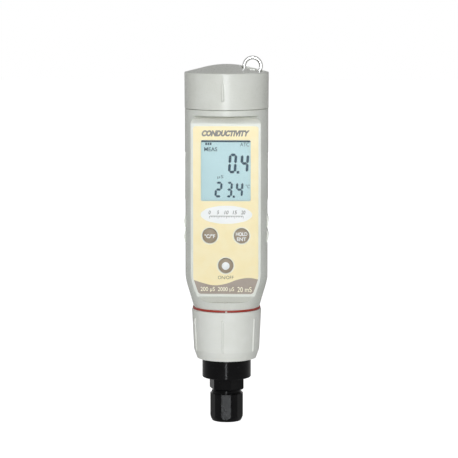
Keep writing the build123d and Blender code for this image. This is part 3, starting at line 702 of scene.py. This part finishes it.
@dataclass(frozen=True)
class LabelPrint:
    """The print on the label film: cream panel, brown foot with ranges, scale and ring marks."""

    film: Extent = Extent.of("label_overlay")
    keys: tuple[Extent, ...] = tuple(
        Extent.of(key) for key in ("unit_button", "hold_button", "power_button")
    )
    ink: float = 0.012
    film_back: float = 0.006
    margin: float = 0.12
    foot_side: float = 12.16
    taper_top: float = 66.35
    corner: float = 1.1
    window_side: float = 11.12
    window_foot: float = 101.2
    window_top: float = 128.5
    button_hole: float = 3.6
    ring_width: float = 0.42
    oval_centre: tuple[float, float] = (0.3, 95.1)
    oval_half: tuple[float, float] = (11.5, 4.05)
    # How far in and down from the panel's shoulders the wave ends, and its crests and troughs between
    wave_right: tuple[float, float] = (0.12, 0.35)
    wave_left: tuple[float, float] = (0.24, 0.7)
    wave: tuple[tuple[float, float], ...] = (
        (10.7, 66.65),
        (5.4, 65.9),
        (0.4, 64.1),
        (-5.0, 63.3),
        (-9.8, 64.2),
    )
    number_scale: NumberScale = NumberScale()
    header_line: Words = Words(
        "CONDUCTIVITY", across=0.0, up=131.5, height=2.75, width=21.4, slant=0.28, weight=0.07
    )
    switch_line: Words = Words("ON/OFF", across=0.0, up=66.85, height=1.5, width=6.9)
    range_lines: tuple[Words, ...] = (
        Words("200 µS", across=-8.1, up=61.4, height=2.3, width=6.4, weight=0.004),
        Words("2000 µS", across=0.1, up=61.4, height=2.3, width=7.3, weight=0.004),
        Words("20 mS", across=8.4, up=61.4, height=2.3, width=6.4, weight=0.004),
    )

    @property
    def side(self) -> float:
        """How far out the panel reaches."""
        return self.film.right - self.margin

    @property
    def top(self) -> float:
        """Upper edge of the panel."""
        return self.film.top - self.margin

    @property
    def foot(self) -> float:
        """Lower edge of the panel."""
        return self.film.foot + self.margin

    def front(self, layer: Layer) -> float:
        """Gives the front of a layer of ink."""
        return self.film.front - layer.value * self.ink

    def plate(self, name: str, outlines: list[Outline], layer: Layer) -> bpy.types.Mesh:
        """Makes a layer of ink that reaches down into the film, so that no gap shows beside it."""
        return printed(name, outlines, self.front(layer), layer.value * self.ink + self.film_back)

    def lettering(self, name: str, line: Words, layer: Layer) -> bpy.types.Mesh:
        """Makes a line of letters that reaches down to the film."""
        return line.mesh(name, self.front(layer), layer.value * self.ink)

    def panel(self) -> bpy.types.Mesh:
        """Makes the cream panel, with the window and the buttons left open."""
        frame_line = Outline(
            (
                Knot(-self.side, self.top, self.corner),
                Knot(-self.side, self.taper_top, self.corner),
                Knot(-self.foot_side, self.foot, self.corner),
                Knot(self.foot_side, self.foot, self.corner),
                Knot(self.side, self.taper_top, self.corner),
                Knot(self.side, self.top, self.corner),
            )
        )
        window = Outline.box(
            -self.window_side, self.window_side, self.window_foot, self.window_top, self.corner / 2
        )
        holes = [Outline.circle(key.across, key.up, self.button_hole) for key in self.keys]
        return self.plate("label_cream_panel", [frame_line, window, *holes], Layer.PANEL)

    def band(self) -> bpy.types.Mesh:
        """Makes the brown foot of the panel, with its wavy upper edge."""
        (right_in, right_down), (left_in, left_down) = self.wave_right, self.wave_left
        line = Outline(
            (
                Knot(self.foot_side, self.foot, self.corner),
                Knot(self.side - right_in, self.taper_top - right_down),
                *(Knot(across, up, flowing=True) for across, up in self.wave),
                Knot(-self.side + left_in, self.taper_top - left_down),
                Knot(-self.foot_side, self.foot, self.corner),
            )
        )
        return self.plate("label_brown_foot", [line], Layer.MARKS)

    def rings(self) -> bpy.types.Mesh:
        """Makes the pale rings round the three buttons."""
        radii = (self.button_hole + self.ring_width, self.button_hole)
        lines = [Outline.circle(key.across, key.up, radius) for key in self.keys for radius in radii]
        return self.plate("label_button_rings", lines, Layer.MARKS)

    def oval(self) -> bpy.types.Mesh:
        """Makes the white oval between the window and the buttons."""
        return self.plate(
            "label_white_oval", [Outline.ellipse(*self.oval_centre, *self.oval_half)], Layer.MARKS
        )

    def scale(self) -> bpy.types.Mesh:
        """Makes the scale in the oval."""
        parts = [
            self.plate(f"label_scale_{place}", [line], Layer.WORDS)
            for place, line in enumerate(self.number_scale.outlines())
        ]
        parts += [
            self.lettering(f"label_scale_number_{place}", word, Layer.WORDS)
            for place, word in enumerate(self.number_scale.words())
        ]
        return merged("label_scale", parts)

    def header(self) -> bpy.types.Mesh:
        """Makes the plain word over the window that says what is measured."""
        return self.lettering("label_header", self.header_line, Layer.MARKS)

    def switch_words(self) -> bpy.types.Mesh:
        """Makes the words under the power button."""
        return self.lettering("label_switch_words", self.switch_line, Layer.MARKS)

    def ranges(self) -> bpy.types.Mesh:
        """Makes the three ranges on the brown foot."""
        parts = [
            self.lettering(f"label_range_{place}", line, Layer.WORDS)
            for place, line in enumerate(self.range_lines)
        ]
        return merged("label_ranges", parts)

    def build(self) -> None:
        """Makes every layer of the print."""
        for mesh, finish in (
            (self.panel(), CREAM_INK),
            (self.band(), BROWN_INK),
            (self.rings(), HALO_INK),
            (self.oval(), WHITE_INK),
            (self.scale(), GREY_INK),
            (self.header(), GREY_INK),
            (self.switch_words(), OLIVE_INK),
            (self.ranges(), HALO_INK),
        ):
            install(mesh, finish, Body.BARREL, Slot.LABEL)


class Digit(Enum):
    """Digits of the display and the segments that each switches on.

    The segments are named as usual: a at the top, b and c down the right, d at the foot, e and f up the
    left, and g across the middle.
    """

    ZERO = "abcdef"
    TWO = "abged"
    THREE = "abgcd"
    FOUR = "fgbc"


@dataclass(frozen=True)
class DigitPlace:
    """One digit on the glass: which, and its left and right side."""

    digit: Digit
    left: float
    right: float


@dataclass(frozen=True)
class DigitRow:
    """A row of digits: their shared foot, top and width of stroke, their places, and the point."""

    name: str
    foot: float
    top: float
    stroke: float
    places: tuple[DigitPlace, ...]
    point: tuple[float, float]


@dataclass(frozen=True)
class Display:
    """What the liquid crystal glass shows: a reading over a temperature, and small marks."""

    glass: Extent = Extent.of("lcd_panel")
    segment: float = 0.03
    # How far the painted shadow of the digits stands from the glass, and how far it is shifted across and
    # up
    ghost: float = 0.012
    painted_shadow_shift: tuple[float, float] = (0.16, -0.2)
    slant: float = 0.07
    gap: float = 0.34
    # Share of a stroke's width that its pointed ends take off each corner
    point_share: float = 0.42
    # Painted shadow along the top of the glass: its top, height and half width
    shadow_line_top: float = 128.15
    shadow_line_height: float = 0.75
    shadow_line_side: float = 11.05
    bars: int = 3
    bar_left: float = -9.2
    bar_step: float = 1.0
    bar_width: float = 0.75
    bar_foot: float = 126.1
    bar_top: float = 127.2
    reading: DigitRow = DigitRow(
        "reading",
        foot=113.5,
        top=122.3,
        stroke=1.15,
        places=(DigitPlace(Digit.ZERO, 1.1, 4.8), DigitPlace(Digit.FOUR, 6.45, 10.15)),
        point=(5.35, 113.95),
    )
    temperature: DigitRow = DigitRow(
        "temperature",
        foot=102.65,
        top=109.7,
        stroke=0.95,
        places=(
            DigitPlace(Digit.TWO, -4.96, -1.7),
            DigitPlace(Digit.THREE, 0.05, 2.9),
            DigitPlace(Digit.FOUR, 4.4, 7.65),
        ),
        point=(3.5, 103.0),
    )
    mark_lines: tuple[Words, ...] = (
        Words("µS", across=-2.5, up=111.8, height=1.8, width=2.7, slant=0.1),
        Words("°C", across=9.75, up=107.6, height=1.6, width=1.9),
        Words("MEAS", across=-6.8, up=124.2, height=1.8, width=5.8, weight=0.012),
        Words("ATC", across=8.35, up=126.35, height=1.7, width=4.0),
    )

    @property
    def front(self) -> float:
        """Front of the segments, which stand just proud of the glass."""
        return self.glass.front - self.segment

    def stroke(self, ends: tuple[Vector, Vector], width: float) -> bmesh.types.BMesh:
        """Makes one segment with pointed ends between two points across and up.

        Args:
            ends: the two ends of the segment's middle line.
            width: width of the segment in millimetres.

        Returns:
            The segment lying on XY, in millimetres.
        """
        form = bmesh.new()
        start, end = ends
        run = end - start
        length = run.length - self.gap
        bmesh.ops.create_cube(form, size=1.0, matrix=Matrix.Diagonal((length, width, self.segment, 1)))
        corners = [e for e in form.edges if abs((e.verts[0].co - e.verts[1].co).z) > self.segment / 2]
        bmesh.ops.bevel(
            form,
            geom=corners,
            offset=width * self.point_share,
            segments=1,
            profile=0.5,
            affect="EDGES",
            material=-1,
        )
        turn = Matrix.Rotation(math.atan2(run.y, run.x), 4, "Z")
        middle = (start + end) / 2
        bmesh.ops.transform(
            form, matrix=Matrix.Translation((middle.x, middle.y, 0)) @ turn, verts=form.verts
        )
        return form

    def digit(self, row: DigitRow, place: DigitPlace) -> list[bpy.types.Mesh]:
        """Makes the segments of one digit, lying on XY, in millimetres.

        Args:
            row: the row that the digit stands in.
            place: which digit it is, and where.

        Returns:
            A mesh for each segment that is switched on.
        """
        half = row.stroke / 2
        left, right = place.left + half, place.right - half
        foot, top = row.foot + half, row.top - half
        middle = (foot + top) / 2
        ends = {
            "a": ((left, top), (right, top)),
            "b": ((right, top), (right, middle)),
            "c": ((right, middle), (right, foot)),
            "d": ((left, foot), (right, foot)),
            "e": ((left, foot), (left, middle)),
            "f": ((left, middle), (left, top)),
            "g": ((left, middle), (right, middle)),
        }
        lean = Matrix.Identity(4)
        lean[0][1] = self.slant
        lean[0][3] = -self.slant * middle
        strokes = []
        for name in place.digit.value:
            form = self.stroke(tuple(Vector(end) for end in ends[name]), row.stroke)
            bmesh.ops.transform(form, matrix=lean, verts=form.verts)
            strokes.append(closed_mesh(f"{row.name}_{place.digit.name.lower()}_{name}", form, unit=1.0))
        return strokes

    def row(self, row: DigitRow) -> bpy.types.Mesh:
        """Makes a row of digits with its point, standing just proud of the glass."""
        parts = [mesh for place in row.places for mesh in self.digit(row, place)]
        form = bmesh.new()
        point = Matrix.Translation((*row.point, 0)) @ Matrix.Diagonal(
            (row.stroke, row.stroke, self.segment, 1)
        )
        bmesh.ops.create_cube(form, size=1.0, matrix=point)
        parts.append(closed_mesh(f"{row.name}_point", form, unit=1.0))
        mesh = mesh_of(f"display_{row.name}", joined(parts))
        mesh.transform(upright(self.glass.front - self.segment / 2))
        return mesh

    def battery_bars(self) -> list[bpy.types.Mesh]:
        """Makes the bars that say how full the cells are."""
        lefts = [self.bar_left + bar * self.bar_step for bar in range(self.bars)]
        outlines = [Outline.box(left, left + self.bar_width, self.bar_foot, self.bar_top) for left in lefts]
        return [
            printed(f"display_bar_{bar}", [outline], self.front, self.segment)
            for bar, outline in enumerate(outlines)
        ]

    def marks(self) -> bpy.types.Mesh:
        """Makes the small unit marks, the battery bars and the words of the measuring state."""
        parts = [
            line.mesh(f"display_mark_{place}", self.front, self.segment)
            for place, line in enumerate(self.mark_lines)
        ]
        return merged("display_marks", parts + self.battery_bars())

    def painted_shadow_line(self) -> bpy.types.Mesh:
        """Makes a painted shadow along the top of the glass, where the window's upper edge shades it: a
        thin dark strip.
        """
        line = Outline.box(-self.shadow_line_side, self.shadow_line_side, self.shadow_line_top - self.shadow_line_height, self.shadow_line_top)
        return printed("display_polariser_edge", [line], self.front, self.segment)

    def painted_shadow_of(self, mesh: bpy.types.Mesh) -> bpy.types.Mesh:
        """Copies a row of digits as a painted shadow on the reflector: a darker sheet of the same shape,
        shifted.
        """
        ghost = mesh.copy()
        ghost.name = f"{mesh.name}_shadow"
        across, up = self.painted_shadow_shift
        back = self.segment - self.ghost
        ghost.transform(Matrix.Translation(Vector((across, back, up)) * MM))
        return ghost

    def build(self) -> None:
        """Makes the two rows, their painted shadows, the marks and the painted shadow along the upper edge.
        """
        for row in (self.reading, self.temperature):
            mesh = self.row(row)
            # The darker copy under each row is a painted shadow of its digits.
            install(self.painted_shadow_of(mesh), LCD_PAINTED_SHADOW, Body.BARREL, Slot.DISPLAY)
            install(mesh, LCD_SEGMENT, Body.BARREL, Slot.DISPLAY)
        install(self.marks(), LCD_SEGMENT, Body.BARREL, Slot.DISPLAY)
        # The painted shadow along the top is drawn in the segments' dark teal.
        install(self.painted_shadow_line(), LCD_SEGMENT, Body.BARREL, Slot.DISPLAY)


@dataclass(frozen=True)
class ButtonLegends:
    """The white legends that are printed on the crowns of the buttons.

    The lines of words are placed from the middle of their button.
    """

    sunk: float = 0.03
    proud: float = 0.09
    drop_height: float = 2.0
    disc_radius: float = 1.75
    disc_rings: int = 4
    disc_sides: int = 40
    unit_lines: tuple[Words, ...] = (
        Words("°C/°F", across=0.0, up=-0.05, height=1.8, width=4.8, weight=0.03),
    )
    hold_lines: tuple[Words, ...] = (
        Words("HOLD", across=0.0, up=0.9, height=1.7, width=5.2, weight=0.03),
        Words("ENT", across=0.0, up=-1.4, height=1.7, width=4.2, weight=0.03),
    )

    def drape(self, mesh: bpy.types.Mesh, node: str) -> bpy.types.Mesh:
        """Lays a flat legend on a button's crown.

        Args:
            mesh: the legend, with its front and back face in front of the crown.
            node: the button that it lies on.

        Returns:
            The same mesh, its front a little proud of the crown and its back in it.
        """
        form = bmesh.new()
        form.from_mesh(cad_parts[node].data)
        crown = BVHTree.FromBMesh(form)
        form.free()
        crown_front = Extent.of(node).front
        middle = crown_front - self.proud / 2
        for vertex in mesh.vertices:
            start = Vector((vertex.co.x, (crown_front - self.drop_height) * MM, vertex.co.z))
            hit = crown.ray_cast(start, Vector((0, 1, 0)))[0]
            lift = -self.proud if vertex.co.y < middle * MM else self.sunk
            vertex.co.y = hit.y + lift * MM
        return mesh

    def words(self, name: str, lines: tuple[Words, ...], node: str) -> bpy.types.Mesh:
        """Makes the lettering of one button.

        Args:
            name: name of the mesh.
            lines: its lines of words.
            node: the button that they lie on.

        Returns:
            The lettering on its button.
        """
        key = Extent.of(node)
        placed = [replace(line, across=key.across + line.across, up=key.up + line.up) for line in lines]
        parts = [
            line.mesh(f"{name}_{place}", key.front - self.proud, self.proud)
            for place, line in enumerate(placed)
        ]
        return self.drape(merged(name, parts), node)

    def disc(self, name: str, node: str) -> bpy.types.Mesh:
        """Makes the white disc of the power button, with rings enough to follow the crown.

        Args:
            name: name of the mesh.
            node: the button that it lies on.

        Returns:
            The disc on its button.
        """
        form = bmesh.new()
        bmesh.ops.create_circle(
            form, cap_ends=True, cap_tris=True, radius=self.disc_radius, segments=self.disc_sides
        )
        spokes = [e for e in form.edges if not e.is_boundary]
        bmesh.ops.subdivide_edges(form, edges=spokes, cuts=self.disc_rings, use_grid_fill=True)
        top = bmesh.ops.extrude_face_region(form, geom=form.faces[:])
        lifted = [part for part in top["geom"] if isinstance(part, bmesh.types.BMVert)]
        bmesh.ops.translate(form, verts=lifted, vec=(0, 0, self.proud))
        key = Extent.of(node)
        bmesh.ops.transform(form, matrix=upright(key.front, key.across, key.up), verts=form.verts)
        return self.drape(closed_mesh(name, form), node)

    def build(self) -> None:
        """Makes the legends of the three buttons."""
        for mesh, body in (
            (self.words("unit_legend", self.unit_lines, "unit_button"), Body.UNIT_KEY),
            (self.words("hold_legend", self.hold_lines, "hold_button"), Body.HOLD_KEY),
            (self.disc("power_legend", "power_button"), Body.POWER_KEY),
        ):
            install(mesh, BUTTON_INK, body, Slot.BUTTON)


@dataclass(frozen=True)
class Thread:
    """The crest of a screw thread: a low ridge that winds up a neck."""

    name: str
    radius: float
    height: float
    foot: float
    pitch: float
    turns: float
    ridge: float
    body: Body
    finish: Surface
    slot: Slot
    steps_a_turn: int = 64
    root: float = 0.15
    flank: float = 0.7

    def build(self) -> None:
        """Winds the ridge's section up the neck, with both ends let into the neck."""
        steps = round(self.turns * self.steps_a_turn)
        inner, outer, half = self.radius - self.root, self.radius + self.height, self.ridge / 2
        section = (
            (inner, self.foot),
            (self.radius, self.foot),
            (outer, self.foot + half * self.flank),
            (outer, self.foot + half * (2 - self.flank)),
            (self.radius, self.foot + self.ridge),
            (inner, self.foot + self.ridge),
        )
        form = bmesh.new()
        corners = [form.verts.new((0, -r * MM, z * MM)) for r, z in section]
        start = form.faces.new(corners)
        first = list(start.verts)
        wound = bmesh.ops.spin(
            form,
            geom=[start, *start.edges, *first],
            cent=(0, 0, 0),
            axis=(0, 0, 1),
            dvec=(0, 0, self.pitch * MM / self.steps_a_turn),
            angle=math.tau * self.turns,
            steps=steps,
            use_merge=False,
            use_duplicate=False,
        )
        last = [part for part in wound["geom_last"] if isinstance(part, bmesh.types.BMVert)]
        for vertex in (*first, *last):
            reach = vertex.co.xy.length
            if reach > self.radius * MM:  # the crest sinks into the neck
                vertex.co.xy *= (self.radius - self.root / 2) * MM / reach
        install(closed_mesh(self.name, form), self.finish, self.body, self.slot)


@dataclass(frozen=True)
class PolarityMarks:
    """The raised plus and minus signs beside the battery wells."""

    holder: Extent = Extent.of("battery_holder")
    rise: float = 0.12
    across: float = 9.6
    back: float = -9.2
    arm: float = 1.7
    stroke: float = 0.42

    def bar(self, form: bmesh.types.BMesh, across: float, size: tuple[float, float]) -> None:
        """Adds one bar of a sign, let into the holder."""
        middle = Matrix.Translation(Vector((across, self.back, self.holder.top)) * MM)
        extent = Matrix.Diagonal((size[0] * MM, size[1] * MM, 2 * self.rise * MM, 1))
        bmesh.ops.create_cube(form, size=1.0, matrix=middle @ extent)

    def build(self) -> None:
        """Makes the plus sign on the left and the minus sign on the right."""
        plus = bmesh.new()
        self.bar(plus, -self.across, (self.arm, self.stroke))
        self.bar(plus, -self.across, (self.stroke, self.arm))
        minus = bmesh.new()
        self.bar(minus, self.across, (self.arm, self.stroke))
        for name, form in (("battery_plus_mark", plus), ("battery_minus_mark", minus)):
            install(closed_mesh(name, form), BLACK_NYLON, Body.BARREL, Slot.BLACK_PLASTIC)


@dataclass(frozen=True)
class SealMark:
    """The small pale pip on the front of the red seal ring."""

    ring: Extent = Extent.of("body_seal_ring")
    half_width: float = 0.504
    half_depth: float = 0.22
    half_height: float = 0.42
    across: float = 0.35
    up: float = 51.8
    sides: int = 16
    rings: int = 10

    def build(self) -> None:
        """Makes the pip as a flattened ball, half of it in the ring."""
        form = bmesh.new()
        halves = Vector((self.half_width, self.half_depth, self.half_height)) * MM
        shape = Matrix.Diagonal(halves).to_4x4()
        place = Matrix.Translation(Vector((self.across, self.ring.front, self.up)) * MM)
        bmesh.ops.create_uvsphere(
            form, u_segments=self.sides, v_segments=self.rings, radius=1.0, matrix=place @ shape
        )
        mesh = closed_mesh("seal_ring_pip", form)
        mesh.shade_smooth()
        install(mesh, MOULDED_ABS, Body.BARREL, Slot.HOUSING)


class Dressing:
    """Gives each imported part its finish."""

    FINISHES: dict[str, Surface] = {
        "battery_cap": CAP_ABS,
        "body_shell": MOULDED_ABS,
        "collar_nut": COLLAR_ABS,
        "label_overlay": LABEL_FILM,
        "display_window": CLEAR_ACRYLIC,
        "lcd_panel": LCD_GLASS,
        "lcd_frame": BLACK_NYLON,
        "contact_strips": BLACK_NITRILE,
        "circuit_board": BOARD_LAMINATE,
        "board_chips": BLACK_NYLON,
        "tactile_switches": BLACK_NYLON,
        "unit_button": BUTTON_PLASTIC,
        "hold_button": BUTTON_PLASTIC,
        "power_button": BUTTON_PLASTIC,
        "sensor_socket": BLACK_NYLON,
        "battery_holder": BLACK_NYLON,
        "battery_contacts": SPRING_BRASS,
        "button_cells": NICKEL_STEEL,
        "holder_screws": NICKEL_STEEL,
        "board_screws": NICKEL_STEEL,
        "contact_bridge": SPRING_BRASS,
        "cap_seal_ring": BLACK_NITRILE,
        "body_seal_ring": RED_SILICONE,
        "sensor_adapter": BLACK_NYLON,
        "adapter_seal_ring": BLACK_NITRILE,
        "contact_pins": SPRING_BRASS,
        "gland_body": BLACK_NYLON,
        "gland_nut": BLACK_NYLON,
        "gland_seal": BLACK_NITRILE,
        "lanyard_ring": NICKEL_STEEL,
    }

    def build(self) -> None:
        """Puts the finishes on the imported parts."""
        for name, finish in self.FINISHES.items():
            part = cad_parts[name]
            part.data.materials.clear()
            part.data.materials.append(PAINTS.get(finish))
            LOG.info("part %s: %s", name, finish.name)


@dataclass(frozen=True)
class Studio:
    """White studio: floor, world, soft lamps, and the camera."""

    target: tuple[float, float, float] = (1.08, 0.0, 87.44)
    distance: float = 993.0
    azimuth: float = 2.0
    pitch: float = 6.8
    lens: float = 172.9
    lamp_distance: float = 1400.0
    lamp_azimuth: float = 0.0
    lamp_elevation: float = 12.0
    lamp_size: tuple[float, float] = (380.0, 900.0)
    lamp_watts: float = 12.4
    lamp_colour: str = "#f8fcff"
    back_share: float = 0.5
    strip_elevation: float = -7.0
    strip_size: tuple[float, float] = (80.0, 700.0)
    strip_watts: float = 5.0
    ambient: float = 0.2
    mirrored: float = 0.45
    sight: float = 50.0
    floor_size: float = 6000.0
    floor_colour: str = "#f4f4f2"
    floor_roughness: float = 0.8
    floor_glow: float = 0.86

    def around(self, distance: float, azimuth: float, elevation: float) -> Vector:
        """Gives a place round the target, in metres, from a distance and two angles."""
        turn, rise = math.radians(azimuth), math.radians(elevation)
        arm = Vector((math.sin(turn) * math.cos(rise), -math.cos(turn) * math.cos(rise), math.sin(rise)))
        return (Vector(self.target) + arm * distance) * MM

    def aim(self, thing: bpy.types.Object, place: Vector) -> None:
        """Puts a camera or lamp in place, looking at the target."""
        thing.location = place
        thing.rotation_euler = (Vector(self.target) * MM - place).to_track_quat("-Z", "Y").to_euler()
        bpy.context.scene.collection.objects.link(thing)

    def seen_directly(self, tree: bpy.types.NodeTree) -> bpy.types.NodeSocket:
        """Gives 1 where the eye or glass looks at the studio, less for a reflection, 0 for its light."""
        path = add_node(tree, "ShaderNodeLightPath")
        dimmed = add_node(
            tree,
            "ShaderNodeMath",
            {"operation": "MULTIPLY"},
            {0: path.outputs["Is Glossy Ray"], 1: self.mirrored},
        )
        mirror = add_node(
            tree,
            "ShaderNodeMath",
            {"operation": "MAXIMUM"},
            {0: dimmed.outputs[0], 1: path.outputs["Is Transmission Ray"]},
        )
        return add_node(
            tree,
            "ShaderNodeMath",
            {"operation": "MAXIMUM"},
            {0: path.outputs["Is Camera Ray"], 1: mirror.outputs[0]},
        ).outputs[0]

    def camera(self) -> None:
        """Adds the camera at the photograph's angle."""
        lens = bpy.data.cameras.new("studio_camera")
        lens.lens = self.lens
        lens.clip_end = self.sight
        camera = bpy.data.objects.new("studio_camera", lens)
        self.aim(camera, self.around(self.distance, self.azimuth, self.pitch))
        bpy.context.scene.camera = camera

    def lamp(
        self, name: str, azimuth: float, elevation: float, size: tuple[float, float], watts: float
    ) -> bpy.types.Object:
        """Adds a tall soft lamp that the camera doesn't see.

        Args:
            name: name of the lamp.
            azimuth: where it stands round the meter, in degrees from the front.
            elevation: how high it stands, in degrees over the target.
            size: its width and height.
            watts: its power.

        Returns:
            The lamp.
        """
        light = bpy.data.lights.new(name, "AREA")
        light.shape = "RECTANGLE"
        light.size, light.size_y = (side * MM for side in size)
        light.energy = watts
        light.color = linear(self.lamp_colour)[:3]
        lamp = bpy.data.objects.new(name, light)
        lamp.visible_camera = False
        self.aim(lamp, self.around(self.lamp_distance, azimuth, elevation))
        return lamp

    def lamps(self) -> None:
        """Adds the front lamp, a dimmer one behind, and a narrow strip that shows in reflections alone."""
        front, back = self.lamp_azimuth, self.lamp_azimuth + 180.0
        self.lamp("front_lamp", front, self.lamp_elevation, self.lamp_size, self.lamp_watts)
        behind = self.lamp(
            "back_lamp", back, self.lamp_elevation, self.lamp_size, self.lamp_watts * self.back_share
        )
        behind.visible_glossy = False
        strip = self.lamp("strip_lamp", front, self.strip_elevation, self.strip_size, self.strip_watts)
        strip.visible_diffuse = False

    def world(self) -> None:
        """Makes the world white to look at and soft as a source of light."""
        world = bpy.data.worlds.new("studio_world")
        world.use_nodes = True
        tree = world.node_tree
        strength = add_node(
            tree,
            "ShaderNodeMapRange",
            None,
            {"Value": self.seen_directly(tree), "To Min": self.ambient, "To Max": 1.0},
        ).outputs["Result"]
        tree.links.new(strength, tree.nodes["Background"].inputs["Strength"])
        tree.nodes["Background"].inputs["Color"].default_value = (1, 1, 1, 1)
        bpy.context.scene.world = world

    def floor(self) -> None:
        """Adds the white floor, which glows to the eye and still takes the meter's shadow."""
        form = bmesh.new()
        bmesh.ops.create_grid(form, x_segments=1, y_segments=1, size=self.floor_size / 2 * MM)
        mesh = closed_mesh("studio_floor", form)
        floor = bpy.data.objects.new("studio_floor", mesh)
        floor.visible_glossy = False
        bpy.context.scene.collection.objects.link(floor)
        material = bpy.data.materials.new("studio_floor_white_paint")
        material.use_nodes = True
        tree = material.node_tree
        paint = tree.nodes["Principled BSDF"]
        paint.inputs["Base Color"].default_value = linear(self.floor_colour)
        paint.inputs["Roughness"].default_value = self.floor_roughness
        glow = add_node(
            tree,
            "ShaderNodeMapRange",
            None,
            {"Value": self.seen_directly(tree), "To Min": 0.0, "To Max": self.floor_glow},
        ).outputs["Result"]
        paint.inputs["Emission Color"].default_value = (1, 1, 1, 1)
        tree.links.new(glow, paint.inputs["Emission Strength"])
        mesh.materials.append(material)
        floor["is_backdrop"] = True

    def build(self) -> None:
        """Sets the whole studio up."""
        self.camera()
        self.lamps()
        self.world()
        self.floor()
        bpy.context.scene.view_settings.view_transform = "Standard"


THREADS = (
    Thread(
        "cap_thread",
        radius=16.8,
        height=0.2,
        foot=144.6,
        pitch=3.0,
        turns=1.75,
        ridge=1.3,
        body=Body.BARREL,
        finish=MOULDED_ABS,
        slot=Slot.HOUSING,
    ),
    Thread(
        "collar_thread",
        radius=13.5,
        height=0.2,
        foot=44.2,
        pitch=3.0,
        turns=2.0,
        ridge=1.3,
        body=Body.BARREL,
        finish=MOULDED_ABS,
        slot=Slot.HOUSING,
    ),
    Thread(
        "gland_thread",
        radius=6.45,
        height=0.4,
        foot=12.68,
        pitch=0.75,
        turns=1.0,
        ridge=0.5,
        body=Body.ADAPTER,
        finish=BLACK_NYLON,
        slot=Slot.BLACK_PLASTIC,
    ),
)


def corners() -> list[list[float]]:
    """Gives the lowest and highest corner of what is shown, as plain numbers."""
    return [[float(value) for value in corner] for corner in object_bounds()]


def main() -> None:
    """Dresses the meter, adds its pieces in order and lights it."""
    logging.basicConfig(level=logging.INFO, format="%(name)s: %(message)s")
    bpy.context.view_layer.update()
    for stage in (
        Studio(),
        Dressing(),
        LabelPrint(),
        Display(),
        ButtonLegends(),
        *THREADS,
        PolarityMarks(),
        SealMark(),
    ):
        LOG.info("building %s", type(stage).__name__)
        stage.build()


if __name__ == "__main__":
    main()
